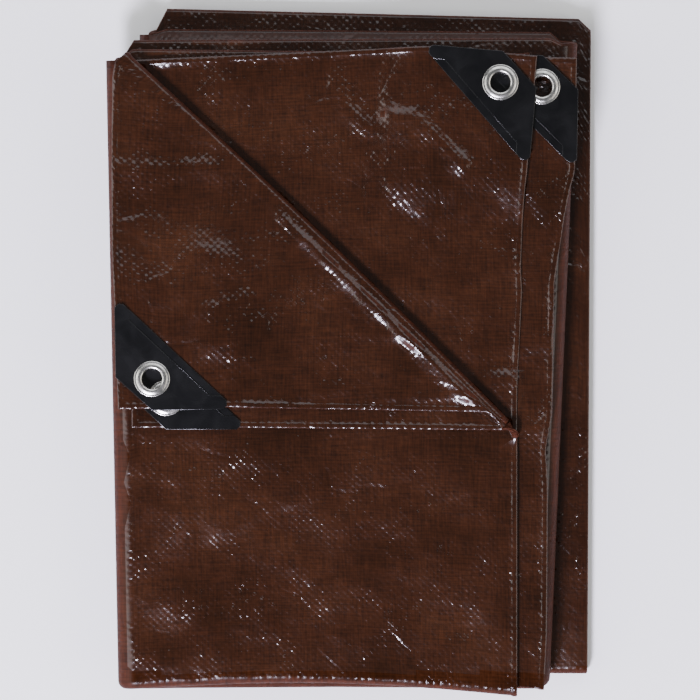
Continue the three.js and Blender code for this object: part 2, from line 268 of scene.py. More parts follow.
# Columns of the front pass for each half of the cloth, from its side edge in to the left fold
hemStops = np.array([0, 0.3, 0.9, 1.7, 2.5, 3.1, 3.5])
columnsOf = [
    {"reflected": 26, "rolled": 8, "flat": 49},
    {"reflected": 65, "rolled": 8, "flat": 10},
]
frontCount = len(hemStops) + sum(columnsOf[0].values())

# Heights of the middle of the stack and of the front pass, and of the cloth at each corner
stackMiddle = 3 * foldAcross["radius"] + 3.5 * tarp["pitch"] + 0.5
frontMiddle = stackMiddle + 3 * foldAcross["radius"]
innerHeight = frontMiddle + 3.5 * tarp["pitch"]
cornerHeight = {"inner": innerHeight, "outer": innerHeight, "third": frontMiddle + 1.5 * tarp["pitch"],
                "fourth": frontMiddle + 0.5 * tarp["pitch"]}
apex, foldEnd = np.array(flap["apex"]), np.array(flap["end"])
slant = (foldEnd - apex) / np.linalg.norm(foldEnd - apex)
outOfFold = np.array([-slant[1], slant[0]])
flapRun = np.linalg.norm(foldEnd - np.array(corners["outer"]["at"]))


def stack3(plan, z):
    return np.column_stack([plan, z])


# The rest of a row, flat from where it turns in to the left fold and far from the hem
def addFlat(half, parts, run, turn, left, z):
    count = columnsOf[half]["flat"]
    share = np.arange(1, count + 1) / count
    flatPart = stack3(turn + (left - turn) * share[:, None], np.full(count, z))
    row = np.concatenate([*parts, flatPart])
    return row, np.concatenate([run, np.full(len(row) - len(run), noHem)])


# One row of the turned-back corner: back over itself from the side edge, round the roll, flat to the left fold
def flapRow(half, share, left, z):
    name = ("inner", "outer")[half]
    counts = columnsOf[half]
    radius = flap["rollRadius"] + half * tarp["pitch"]
    turn = apex + (foldEnd - apex) * share + outOfFold * flap["bow"] * math.sin(pi * share)
    origin, across, down = cornerFrame(name)
    tail = foldEnd - np.array([0, flap["tail"]])
    zoneShare = flap["zone"] / flapRun
    zoneEnd = origin + across * flap["zone"]
    turning = {"inner": tail, "outer": np.array(flap["outerHemEnd"])}[name]
    last = flap["lastShare"]
    edge = origin + across * min(share, zoneShare) * flapRun
    edge = edge + (turning - zoneEnd) * np.clip((share - zoneShare) / (last - zoneShare), 0, 1)
    edge = edge + (tail - turning) * np.clip((share - last) / (1 - last), 0, 1)
    length = np.linalg.norm(turn - edge)
    lead = edge + mix(down, (turn - edge) / length, smooth(share, zoneShare, flap["leadEnd"])) * length * 0.5
    hem = hemStops * min(1, length / tarp["hemNeeds"])
    step = min(flap["columnStep"], (length - hem[-1]) / counts["reflected"])
    near = hem[-1] + step * np.arange(flap["columnsNear"])
    beyond = counts["reflected"] + 2 - flap["columnsNear"]
    run = np.concatenate([hem, near[1:], np.linspace(near[-1], length, beyond)[1:-1]])
    t = (run / length)[:, None]
    back = edge * (1 - t) ** 2 + lead * 2 * t * (1 - t) + turn * t ** 2
    back[:, 0] -= np.interp(back[:, 1], *zip(*flap["bulge"])) * (1 - smooth(share, 0.0, flap["bulgeShare"]))
    fade = flap["zoneFade"]
    inZone = 1 - smooth(run, flap["zone"], flap["zone"] * fade)
    inZone = inZone * (1 - smooth(share, zoneShare, zoneShare * fade))
    level = mix(flap["rest"][name], corners[name]["lift"], inZone)
    roll = z + 2 * radius - innerHeight
    level = mix(level, roll, smooth(run, length - flap["rollRamp"], length))
    backPart = stack3(back, innerHeight + level)
    angle = pi * (1 - np.arange(counts["rolled"] + 1) / counts["rolled"])
    rollPlan = turn + outOfFold * (radius * np.sin(angle))[:, None]
    rollPart = stack3(rollPlan, z + radius * (1 - np.cos(angle)))
    return addFlat(half, (backPart, rollPart), run, turn, left, z)


# One row where the slanting fold runs out: curl is 1 where it is still folded over and 0 where it is flat
def runOutRow(half, curl, turn, facing, left, z):
    counts = columnsOf[half]
    radius = flap["rollRadius"] + half * tarp["pitch"]
    beyond = len(hemStops) + counts["reflected"] - 1 + counts["rolled"]
    spare = mix(sideEdges["front"][0][1] - turn[0], flap["tail"], curl)
    length = spare + curl * pi * radius
    hem = hemStops * min(1, length / tarp["hemNeeds"])
    run = goOn(hem, (length, beyond - len(hem) + 2))
    past = length - run
    angle = np.minimum(past / radius, curl * pi)
    straight = past - angle * radius
    out = radius * np.sin(angle) + straight * np.cos(angle)
    up = radius * (1 - np.cos(angle)) + straight * np.sin(angle)
    edgePart = stack3(turn + facing * out[:, None], z + up)
    return addFlat(half, (edgePart,), run, turn, left, z)


# Distances from the side edge of a row that isn't turned back. gathered keeps its columns near the edge.
def plainRun(half, width, gathered):
    counts = columnsOf[half]
    near = len(hemStops) + counts["reflected"] + counts["rolled"]
    even = goOn(hemStops, (width, frontCount - len(hemStops) + 1))
    if gathered == 0:
        return even
    gather = goOn(hemStops, (gatherTo, near - len(hemStops) + 1), (width, frontCount - near + 1))
    return mix(even, gather, gathered)


# One plain row of the front pass. down is its distance from the end edge at the top, or None lower in the stack.
def plainRow(half, edge, up, z, left, gathered=0, down=None):
    run = plainRun(half, edge - left[0], gathered)
    x = edge - run
    share = run / (edge - left[0])
    y = planPoint(np.zeros(frontCount), share * tarp["width"], np.full(frontCount, up))[1]
    height = np.full(frontCount, z)
    plan = np.column_stack([x, y])
    if down is not None:
        name = ("fourth", "third")[half]
        origin, across, leg = cornerFrame(name)
        zone = flap["zone"]
        square = origin + leg * down + across * np.minimum(run, zone)[:, None]
        rest = np.clip((run - zone) / (run[-1] - zone), 0, 1)[:, None]
        square = square + (plan[-1] - origin - leg * down - across * zone) * rest
        low, high = (zone * times for times in flap["plainZone"]["square"])
        plan = mix(plan, square, 1 - smooth(down, low, high))
        low, high = (zone * times for times in flap["plainZone"]["lift"])
        lift = (1 - smooth(run, low, high)) * (1 - smooth(down, low, high))
        height = height + corners[name]["lift"] * lift
    return stack3(plan, height), run


# Rows of each part of the cloth
rowsOf = {
    "flap": 70,
    "curls": (0.86, 0.72, 0.58, 0.44, 0.3, 0.16, 0.0),  # how far the fold is turned over where it runs out
    "front": (foldEnd[1] - 11.5, -190, 46),
    "back": [(225, 61), (368, 24)],
    "coarse": 9,  # each ninth row goes on behind the front
    "ungather": (58, 120),  # gathered columns spread out between these distances below the middle
}
runOut = np.array([4, 9])  # from the end of the fold to where the cloth is flat, right and down


def upAtLeft(y):
    low, high = passes["bottomLeft"][0][1], passes["topLeft"][0][1]
    return tarp["height"] * (y - low) / (high - low)


# Rows from the first end edge to the second, each with its distance along the cloth
def clothRows():
    rows = []
    height = tarp["height"]
    for share in goOn(hemStops / flapRun, (1, rowsOf["flap"])):
        y = apex[1] + (foldEnd[1] - apex[1]) * share
        rows.append({"at": height - upAtLeft(y) if share > 0 else 0.0, "kind": "flap", "share": share,
                     "cut": share * flapRun})
    for curl in rowsOf["curls"]:
        y = foldEnd[1] - runOut[1] * (1 - curl)
        rows.append({"at": height - upAtLeft(y), "kind": "runOut", "curl": curl, "cut": noHem})
    for y in np.linspace(*rowsOf["front"]):
        rows.append({"at": height - upAtLeft(y), "kind": "front", "cut": noHem,
                     "gathered": 1 - smooth(-y, *rowsOf["ungather"])})
    whole = foldedLength(doubleAlong)

    def halfTurn(fold, kind):
        start, steps = fold["pass"], tarp["bendSteps"]
        return [{"at": start + pi * fold["radius"] * step / steps, "kind": kind, "cut": noHem, "gathered": 0,
                 "coarse": True} for step in range(steps + 1)]

    rows += halfTurn(foldAlong, "front")
    rows += halfTurn(doubleAlong, "hidden")
    back = [{"at": stop, "kind": "back"} for stop in goOn(hemStops, *rowsOf["back"])]
    back += halfTurn(foldAlong, "back")
    rows += [{**row, "at": whole - row["at"], "cut": row["at"]} for row in reversed(back)]
    for index, row in enumerate(rows):
        row["coarse"] = row.get("coarse", False) or index in (0, len(rows) - 1) or index % rowsOf["coarse"] == 0
    return rows


rows = clothRows()


def frontRow(half, row):
    heightAcross = np.array((0.5 - half) * tarp["pitch"])
    along, lying, _ = layFold(doubleAlong, np.array(row["at"]), heightAcross)
    blockAlong, blockHeight, _ = layFold(foldAlong, along, lying)
    up = tarp["height"] - blockAlong
    z = frontMiddle + blockHeight
    left = np.array(planPoint(np.array(0.0), np.array(tarp["width"]), up))
    if row["kind"] == "flap":
        return flapRow(half, row["share"], left, z)
    if row["kind"] == "runOut":
        flat = 1 - row["curl"]
        turn = foldEnd + runOut * (1, -1) * flat
        facing = mix(outOfFold, np.array([1.0, 0.0]), flat)
        return runOutRow(half, row["curl"], turn, facing / np.linalg.norm(facing), left, z)
    if row["kind"] == "front":
        return plainRow(half, sideEdges["front"][0][1] - secondBack * half, up, z, left, row["gathered"])
    if row["kind"] == "hidden":
        return plainRow(half, hiddenEdge, up, z, left)
    y = mix(passes["bottomLeft"][0][1], passes["topLeft"][0][1], up / tarp["height"])
    edge = sideEdge(("fourth", "third")[half], y)
    return plainRow(half, edge, up, z, left, 0, row["cut"])


# Columns of the other three passes and of the turn where the cloth is doubled, from left fold to left fold
def otherColumns():
    width, radius = foldAcross["pass"], foldAcross["radius"]
    steps = tarp["bendSteps"]
    stations = [0.0, 6.0, 16.0, 30.0, 120.0, 210.0, 224.0, 234.0, width]
    distances = []
    for index in range(1, 4):
        start = index * (width + pi * radius)
        distances += [start - pi * radius * (1 - step / steps) for step in range(1, steps)]
        distances += [start + place for place in stations]
    turn = [doubleAcross["pass"] + pi * doubleAcross["radius"] * step / steps for step in range(1, steps)]
    whole = foldedLength(doubleAcross)
    return np.array(distances + turn + [whole - d for d in reversed(distances)])


def otherRow(row, distances):
    over, height, _ = layFold(doubleAcross, distances, np.zeros(len(distances)))
    along, lying, _ = layFold(doubleAlong, np.full(len(distances), row["at"]), height)
    blockAlong, blockHeight, _ = layFold(foldAlong, along, lying)
    stackAlong, stackHeight, passPlace = layFold(foldAcross, over, blockHeight)
    x, y = planPoint(passPlace, stackAlong, tarp["height"] - blockAlong)
    return np.column_stack([x, y, stackMiddle + stackHeight])


# Faces of a grid of point numbers, and of the seam between a fine column and a coarse one
def gridFaces(numbers):
    a, b, c, d = numbers[:-1, :-1], numbers[:-1, 1:], numbers[1:, 1:], numbers[1:, :-1]
    return np.stack([a, b, c, d], -1).reshape(-1, 4).tolist()


def seamFaces(fine, coarse, coarseRows, flip):
    faces = []
    for number in range(len(coarseRows) - 1):
        first, last = coarseRows[number], coarseRows[number + 1]
        middle = (first + last) // 2
        near, far = coarse[number], coarse[number + 1]
        for step in range(first, last):
            corner = near if step < middle else far
            faces.append([fine[step], corner, fine[step + 1]])
        faces.append([fine[middle], near, far])
    return [face[::-1] for face in faces] if flip else faces


def clothGrid():
    blocks, runs = [], []
    for half in (0, 1):
        made = [frontRow(half, row) for row in rows]
        blocks.append(np.array([m[0] for m in made]))
        runs.append(np.array([m[1] for m in made]))
    coarseRows = [index for index, row in enumerate(rows) if row["coarse"]]
    distances = otherColumns()
    others = np.array([otherRow(rows[index], distances) for index in coarseRows])
    high = len(rows)
    first = np.arange(high * frontCount).reshape(high, frontCount)
    middle = first.size + np.arange(others.shape[0] * others.shape[1]).reshape(others.shape[:2])
    second = first.size + middle.size + first
    points = np.concatenate([blocks[0].reshape(-1, 3), others.reshape(-1, 3), blocks[1].reshape(-1, 3)])
    faces = gridFaces(first) + gridFaces(middle) + gridFaces(second[:, ::-1])
    faces += seamFaces(first[:, -1], middle[:, 0], coarseRows, False)
    faces += seamFaces(second[:, -1], middle[:, -1], coarseRows, True)
    rowCut = np.array([row["cut"] for row in rows])
    cut = [np.minimum(run, rowCut[:, None]).ravel() for run in runs]
    otherCut = np.repeat(rowCut[coarseRows], others.shape[1])
    cut = np.concatenate([cut[0], otherCut, cut[1]])

    # Place on the flat cloth, in metres: along each row from its left fold, and down the rows
    along = []
    for half, block in enumerate(blocks):
        steps = np.linalg.norm(np.diff(block[:, ::-1], axis=1), axis=2)
        gone = np.concatenate([np.zeros((high, 1)), np.cumsum(steps, 1)], 1)[:, ::-1]
        start = foldAcross["pass"]
        along.append((start - gone if half == 0 else sheetWide - start + gone).ravel())
    rowAt = np.array([row["at"] for row in rows])
    u = np.concatenate([along[0], np.tile(distances, len(coarseRows)), along[1]])
    v = np.concatenate([np.repeat(rowAt, frontCount), np.repeat(rowAt[coarseRows], len(distances)),
                        np.repeat(rowAt, frontCount)])
    return points, faces, cut, np.column_stack([u, v]) * mm


points, faces, cut, flatPlace = clothGrid()
print("cloth:", len(rows), "rows,", len(points), "points,", len(faces), "faces")


# Creases that show, each a line in plan with the height and half-width of its ridge. Below 0 is a groove.
creases = {
    "third": [
        ([(21, 136), (37, 135), (47, 127), (57, 118), (66, 108)], 2.03, 4.0),
        ([(-8, 159), (-4, 145), (10, 129)], 1.08, 3.5), ([(3, 134), (13, 129), (36, 126)], 1.08, 3.5),
        ([(45, 111), (48, 100), (53, 92)], 0.81, 2.8), ([(20, 92), (31, 80), (54, 62)], -0.94, 2.8),
        ([(64, 95), (60, 84), (56, 73), (57, 51), (55, 38)], 0.68, 3.2), ([(71, 138), (65, 127)], 0.68, 2.8),
        ([(86, 52), (82, 38), (78, 26)], 0.54, 3), ([(43, 35), (50, 33)], 0.68, 3.5),
        ([(60, -10), (98, -9)], -1.35, 5.5), ([(68, -19), (99, -16)], 0.81, 3.2),
        ([(32, 29), (38, 6), (54, -14)], 0.81, 6), ([(-78, 176), (-76, 122)], 0.54, 4),
        ([(-111, 176), (-103, 158)], 0.54, 4), ([(-29, 169), (-27, 148)], 0.41, 3.5),
        ([(6, 176), (11, 143)], 0.61, 4), ([(20, 163), (25, 135)], 0.54, 4), ([(75, 128), (88, 111)], 0.68, 3.2),
        ([(92, 111), (95, 67)], 0.54, 3.5), ([(-11, 118), (-7, 124)], 0.54, 2.8),
    ],
    "strip": [
        ([(99, -42), (106, -46), (112, -44)], 1.2, 2.8), ([(101, -50), (110, -53), (118, -50)], 1.2, 2.8),
        ([(104, -58), (113, -60)], 0.9, 2.8), ([(114, -36), (119, -50)], 0.9, 2.8),
        ([(86, -13), (98, -19)], 1.1, 2.8), ([(88, -22), (97, -29)], 1.0, 2.8),
        ([(102, 46), (111, 54), (121, 64)], -1.08, 2.8), ([(107, 93), (114, 79), (118, 66)], 1.08, 3.5),
        ([(121, 35), (118, 17), (114, -0)], 0.81, 3), ([(109, 19), (111, 3)], 0.81, 4),
        ([(97, -1), (111, 6)], 0.68, 2.8), ([(114, -28), (123, -58)], 0.68, 4), ([(100, -52), (114, -61)], 0.68, 3.2),
        ([(105, -99), (111, -146)], 0.54, 4),
    ],
    "flap": [
        ([(-136, 106), (-110, 105), (-80, 106)], 1.35, 5), ([(-134, 95), (-116, 98), (-99, 102)], 0.68, 3.2),
        ([(-135, 162), (-134, 129)], 0.54, 3.2), ([(-128, 160), (-127, 131)], 0.47, 3.2),
        ([(-121, 156), (-120, 133)], 0.47, 3.2), ([(-106, 7), (-92, 20), (-61, 30)], 1.22, 4),
        ([(-82, 2), (-65, 9), (-50, 16)], 1.22, 4.5), ([(-89, 7), (-74, 19)], 0.68, 3),
        ([(-11, 39), (-18, 27)], 0.81, 2.8), ([(-16, 43), (-11, 51)], 0.81, 2.8), ([(-55, 59), (-29, 65)], 0.47, 3.2),
        ([(8, 9), (29, 8), (53, -0)], 0.94, 3.6), ([(25, -27), (70, -27)], 0.68, 3.2),
        ([(-29, -26), (-3, -22)], 0.54, 3.2), ([(-71, -32), (-33, -31)], 0.54, 3.2),
        ([(-64, 79), (-51, 93)], 0.54, 4), ([(-116, 116), (-80, 115)], -0.68, 5),
        ([(-38, 80), (-11, 52), (29, 14), (61, -18), (77, -31)], 2.1, 5.5),
    ],
    "front": [
        ([(-58, -56), (-11, -71), (29, -70)], 0.54, 9), ([(-135, -87), (-75, -100)], 0.61, 9),
        ([(-29, -90), (44, -102)], 0.61, 10), ([(-99, -146), (-29, -169)], 0.68, 12),
        ([(18, -140), (91, -122)], 0.54, 11), ([(-122, -180), (-64, -187)], 0.68, 10),
        ([(47, -61), (91, -65)], 0.47, 7), ([(-99, -58), (-93, -122)], 0.41, 8),
    ],
}
ripple = {
    "wave": (24, 70),  # mm, shortest and longest wavelength
    "height": 0.28,
    "crinkle": (8, 18),
    "crinkleHeight": 0.16,
    "count": 22,
    "seed": 11,
    "floor": 20.0,  # mm, nothing under this height is crumpled
}
# Where the crumple fades in, in plan: past the slanting fold, in the low part, on the flap and round the patches
fades = {
    "fold": (3, 12),
    "lowTop": (48, 58),
    "lowRight": (86, 97),
    "flapFold": (-1, 5),
    "flapBottom": (-36, -28),
    "flapHeight": (0.6, 3.6),  # above the package
    "patch": (66, 64),  # across and down
    "patchSide": -4,
    "patchPast": 1.16,
}


def creaseField(name, x, y):
    total = np.zeros(len(x))
    for line, height, width in creases[name]:
        nearest = np.full(len(x), 1e9)
        for (ax, ay), (bx, by) in zip(line, line[1:]):
            length = math.hypot(bx - ax, by - ay)
            t = np.clip(((x - ax) * (bx - ax) + (y - ay) * (by - ay)) / length ** 2, 0, 1)
            nearest = np.minimum(nearest, np.hypot(x - ax - (bx - ax) * t, y - ay - (by - ay) * t))
        total += height * np.exp(-(nearest / width) ** 2)
    return total


# Sum of waves in all directions, between two wavelengths, about 1 high
def waveField(x, y, shortest, longest, seed):
    chance = np.random.default_rng(seed)
    total = np.zeros(len(x))
    for _ in range(ripple["count"]):
        heading, phase = chance.uniform(0, 2 * pi, 2)
        number = 2 * pi / chance.uniform(shortest, longest)
        total += np.sin(number * (x * math.cos(heading) + y * math.sin(heading)) + phase)
    return total / math.sqrt(ripple["count"] / 2)


def clearOf(name, x, y):
    origin, across, down = cornerFrame(name)
    a = (x - origin[0]) * across[0] + (y - origin[1]) * across[1]
    b = (x - origin[0]) * down[0] + (y - origin[1]) * down[1]
    across, down = fades["patch"]
    outside = np.maximum(a / across + b / down, 0)
    outside = np.where(np.minimum(a, b) < fades["patchSide"], fades["patchPast"], outside)
    return smooth(outside, 1.0, fades["patchPast"])


# Raises and lowers what lies at each place of the plan by a smooth field, so that layers keep their order
def crumple(points):
    x, y, z = points.T.copy()
    past = (x - apex[0]) * outOfFold[0] + (y - apex[1]) * outOfFold[1]
    right = smooth(past, *fades["fold"]) * clearOf("third", x, y) * clearOf("fourth", x, y)
    low = smooth(-y, *fades["lowTop"]) * (1 - smooth(x, *fades["lowRight"]))
    onFlap = smooth(-past, *fades["flapFold"]) * smooth(y, *fades["flapBottom"]) * clearOf("outer", x, y)
    wave = waveField(x, y, *ripple["wave"], ripple["seed"]) * ripple["height"]
    fine = 1 - np.abs(waveField(x, y, *ripple["crinkle"], ripple["seed"] + 1))
    wave = wave + fine * ripple["crinkleHeight"]
    whole = right * (creaseField("third", x, y) + creaseField("strip", x, y) + wave)
    whole += low * (creaseField("front", x, y) + wave)
    top = onFlap * (creaseField("flap", x, y) + wave)
    depth = np.clip((z - ripple["floor"]) / (innerHeight - ripple["floor"]), 0, 1)
    first, last = (innerHeight + rise for rise in fades["flapHeight"])
    z = z + whole * depth + top * smooth(z, first, last)
    return np.column_stack([x, y, z])


points = crumple(points)


# Half the thickness of the cloth at a distance from its cut edge, with the rope in the hem
def halfThickness(distance):
    across = np.clip(distance / tarp["hemWidth"], 0, 1)
    bead = np.sqrt(np.clip(1 - (2 * across - 1) ** 2, 0, 1))
    return tarp["thickness"] / 2 + tarp["hemRope"] * bead


def pointNormals(points, faces):
    normals = np.zeros_like(points)
    for size in (3, 4):
        table = np.array([face for face in faces if len(face) == size])
        if len(table) == 0:
            continue
        a, b, c, d = (points[table[:, i % size]] for i in range(4))
        facing = np.cross(c - a, (d - b) if size == 4 else (c - b))
        for i in range(size):
            np.add.at(normals, table[:, i], facing)
    return normals / np.maximum(np.linalg.norm(normals, axis=1, keepdims=True), 1e-9)


# Eyelets: a rolled barrel and two flanges, turned round one profile by a node tree.
# Each point of the profile is its radius and its height from the middle of the cloth, both in mm.
eyelet = {
    "across": 20.0,  # from the edges of the cloth
    "down": 17.3,
    "hole": 11.6,
    "clear": 2.2,  # from the hole to the cloth
    "reach": 0.6,  # up and down, so that only its own layer is opened
    "turning": 8.2,  # mm, radius that the profile is turned at
    "steps": 72,
    "profile": [(5.82, 0.0), (5.82, 1.5), (5.9, 1.95), (6.15, 2.32), (6.6, 2.56), (7.2, 2.65), (7.9, 2.6), (8.6, 2.4),
                (9.1, 2.18), (9.4, 2.08), (9.65, 2.1), (9.95, 2.17), (10.25, 2.1), (10.45, 1.9), (10.5, 1.68),
                (10.35, 1.56), (9.6, 1.52), (6.6, 1.52), (6.5, 1.4)],
}


def eyeletCentre(name):
    origin, across, down = cornerFrame(name)
    plan = origin + across * eyelet["across"] + down * eyelet["down"]
    return np.array([*plan, cornerHeight[name] + corners[name]["lift"]])


# The cloth is open where an eyelet passes through it
def openForEyelets(points, faces):
    shut = np.ones(len(points), bool)
    for name, corner in corners.items():
        centre = eyeletCentre(name)
        near = np.hypot(points[:, 0] - centre[0], points[:, 1] - centre[1]) < eyelet["hole"] / 2 + eyelet["clear"]
        shut &= ~(near & (np.abs(points[:, 2] - centre[2]) < eyelet["reach"]))
    return [face for face in faces if all(shut[v] for v in face)]


# How far from level the cloth stands where its film begins to be rubbed and the painted sheen of the edge colour
# begins, and where it is quite dull and that painted sheen is full
rubAndSheen = {
    "fold": (0.045, 0.15),
    "bead": (0.06, 0.2),
    "beadShare": 0.8,
    "bottom": -186,  # the folds below this y are dull too
    "faceShare": 0.35,  # a face this much rubbed takes the dull material, as all walls do
}


# A closed sheet from its middle surface, with both faces and a wall along every open edge
def closedSheet(name, points, faces, half, places):
    normals = pointNormals(points, faces)
    count = len(points)
    both = np.concatenate([points + normals * half[:, None], points - normals * half[:, None]]) * mm
    under = [[v + count for v in reversed(face)] for face in faces]
    edges = {(a, b) for face in faces for a, b in zip(face, face[1:] + face[:1])}
    wall = [[b, a, a + count, b + count] for a, b in edges if (b, a) not in edges]
    mesh = bpy.data.meshes.new(name)
    mesh.from_pydata(both.tolist(), [], faces + under + wall)
    mesh.update()
    loops = np.empty(len(mesh.loops), dtype=np.int32)
    mesh.loops.foreach_get("vertex_index", loops)
    layer = mesh.uv_layers.new(name="clothCut")
    layer.uv.foreach_set("vector", np.concatenate([places, places])[loops].astype(np.float32).ravel())
    mesh.polygons.foreach_set("use_smooth", [True] * len(mesh.polygons))
    # rolled: how steeply the cloth stands; it dulls the film and lays the edge colour on as painted sheen
    rolled = mesh.attributes.new("rolled", "FLOAT", "POINT")
    steep = smooth(1 - np.abs(normals[:, 2]), *rubAndSheen["fold"])
    outside = np.array([vertex.normal.z for vertex in mesh.vertices])
    steepBead = smooth(1 - np.abs(outside), *rubAndSheen["bead"]) * rubAndSheen["beadShare"]
    rolled.data.foreach_set("value", np.maximum(np.concatenate([steep, steep]), steepBead).astype(np.float32))
    bottom, enough = points[:, 1] < rubAndSheen["bottom"], rubAndSheen["faceShare"]
    steepFace = [int(all(bottom[v] for v in face) or sum(steep[v] for v in face) > enough * len(face))
                 for face in faces]
    mesh.polygons.foreach_set("material_index", steepFace + steepFace + [1] * len(wall))
    mesh.update()
    return addObject(name, mesh)


faces = openForEyelets(points, faces)
tarpCloth = closedSheet("tarpCloth", points, faces, halfThickness(cut), flatPlace)
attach(tarpCloth, "root")
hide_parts("tarp_sheet")
print("tarp cloth made")


# Moulded corner patches: two plates welded over the cloth, open along the slanting side and at the cut corner
patch = {
    "across": 63.0,
    "down": 61.0,
    "cutAcross": 20.0,
    "cutDown": 18.5,
    "tip": 5.0,
    "tipBevel": 2.0,
    "rim": 1.0,  # past the edge of the cloth
    "inside": 0.68,  # half the gap that the hem lies in
    "band": 1.08,  # top of the outer band, from the middle of the cloth
    "top": 1.5,
    "bandWidth": 4.4,
    "legAcross": 7.0,  # width of the raised strip along each leg
    "legDown": 7.5,
    "round": 0.22,
    "bandRound": 0.15,
    "ridgeWidth": 0.3,  # the thin ridge between the band and the raised plate
    "ridgeRise": 0.1,
    "ridgeRound": 0.1,
    "stripClear": 0.1,  # from the cloth to the strips that join the plates
    "stripInset": 0.05,
    "holePast": 1.0,  # past the radius of the eyelet's hole
}


def roundedPlate(made, loops, low, high, rounding):
    curve = bpy.data.curves.new("plate", "CURVE")
    curve.dimensions = "2D"
    curve.fill_mode = "BOTH"
    curve.extrude = (high - low) / 2 - rounding
    curve.bevel_depth, curve.bevel_resolution, curve.offset = rounding, 2, -rounding
    for loop in loops:
        spline = curve.splines.new("POLY")
        spline.points.add(len(loop) - 1)
        for point, (a, b) in zip(spline.points, loop):
            point.co = (-a, -b, 0, 1)
        spline.use_cyclic_u = True
    holder = addObject("plate", curve)
    mesh = bpy.data.meshes.new_from_object(holder.evaluated_get(bpy.context.evaluated_depsgraph_get()))
    mesh.transform(Matrix.Translation((0, 0, (low + high) / 2)))
    made.from_mesh(mesh)
    bpy.data.objects.remove(holder)
    bpy.data.curves.remove(curve)
    bpy.data.meshes.remove(mesh)


def circleLoop(centre, radius, count=48):
    return [(centre[0] + radius * math.cos(2 * pi * i / count), centre[1] + radius * math.sin(2 * pi * i / count))
            for i in range(count)]


def patchMesh():
    across, down, rim, tip, bevel = patch["across"], patch["down"], patch["rim"], patch["tip"], patch["tipBevel"]
    outline = [(patch["cutAcross"], -rim), (across - bevel, -rim), (across, bevel - rim), (across, tip - rim),
               (tip - rim, down), (bevel - rim, down), (-rim, down - bevel), (-rim, patch["cutDown"])]
    start, end = np.array(outline[3]), np.array(outline[4])
    run = (end - start) / np.linalg.norm(end - start)
    inward = np.array([run[1], -run[0]]) * -1
    if inward @ (np.array([0.0, 0.0]) - start) < 0:
        inward = -inward

    def onLine(offset, axis, value):
        origin = start + inward * offset
        return tuple(origin + run * (value - origin[axis]) / run[axis])

    width, strip, leg = patch["bandWidth"], patch["legAcross"], patch["legDown"]
    ridge = [onLine(width, 1, strip), onLine(width, 0, leg)]
    raised = outline[:4] + [onLine(0, 1, strip), ridge[0], ridge[1], onLine(0, 0, leg)] + outline[4:]
    hole = circleLoop((eyelet["across"], eyelet["down"]), eyelet["hole"] / 2 + patch["holePast"])
    made = bmesh.new()
    top, band, inside, rounding = patch["top"], patch["band"], patch["inside"], patch["round"]
    beadWidth = inward * patch["ridgeWidth"]
    bead = [ridge[0], ridge[1], tuple(ridge[1] + beadWidth), tuple(ridge[0] + beadWidth)]
    for side in (1, -1):
        spans = [(outline, inside, band, patch["bandRound"], True), (raised, inside, top, rounding, True),
                 (bead, band, top + patch["ridgeRise"], patch["ridgeRound"], False)]
        for loop, low, high, edge, holed in spans:
            loops = [loop, hole] if holed else [loop]
            roundedPlate(made, loops, *sorted((low * side, high * side)), edge)
    first, second, clear = patch["cutAcross"], patch["cutDown"], -patch["stripClear"]
    strips = [[(first, -rim), (across - bevel, -rim), (across - bevel, clear), (first, clear)],
              [(-rim, second), (clear, second), (clear, down - bevel), (-rim, down - bevel)]]
    height = top - patch["stripInset"]
    for loop in strips:
        roundedPlate(made, [loop], -height, height, patch["ridgeRound"])
    bmesh.ops.remove_doubles(made, verts=made.verts, dist=1e-4)
    bmesh.ops.recalc_face_normals(made, faces=made.faces)
    mesh = bpy.data.meshes.new("cornerPatch")
    made.to_mesh(mesh)
    made.free()
    return mesh


def cornerPlace(name):
    corner = corners[name]
    level = cornerHeight[name] + corner["lift"]
    turn = Matrix.Rotation(math.radians(corner["turn"]), 4, "Z")
    return Matrix.Scale(mm, 4) @ Matrix.Translation((*corner["at"], level)) @ turn


def addPiece(name, mesh, material, node):
    mesh.materials.clear()
    mesh.materials.append(material)
    made = addObject(name, mesh)
    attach(made, "root")
    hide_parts(node)
    return made


def turnedTree():
    tree = bpy.data.node_groups.new("turnedEyelet", "GeometryNodeTree")
    tree.interface.new_socket("Geometry", in_out="INPUT", socket_type="NodeSocketGeometry")
    sockets = {}
    for label, kind in (("Turning Radius", "Float"), ("Steps Round", "Int"), ("Metal", "Material")):
        socket = tree.interface.new_socket(label, in_out="INPUT", socket_type="NodeSocket" + kind)
        sockets[label] = socket.identifier
    tree.interface.new_socket("Geometry", in_out="OUTPUT", socket_type="NodeSocketGeometry")
    given = tree.nodes.new("NodeGroupInput").outputs
    profile = addNode(tree, "MeshToCurve", {}, {"Mesh": given["Geometry"]})
    circle = addNode(tree, "CurvePrimitiveCircle", {},
                     {"Radius": given["Turning Radius"], "Resolution": given["Steps Round"]})
    ring = addNode(tree, "CurveToMesh", {}, {"Curve": circle, "Profile Curve": profile})
    for kind in ("SetShadeSmooth", "RealizeInstances"):
        ring = addNode(tree, kind, {}, {"Geometry": ring})
    painted = addNode(tree, "SetMaterial", {}, {"Geometry": ring, "Material": given["Metal"]})
    tree.links.new(painted.outputs[0], tree.nodes.new("NodeGroupOutput").inputs[0])
    return tree, sockets


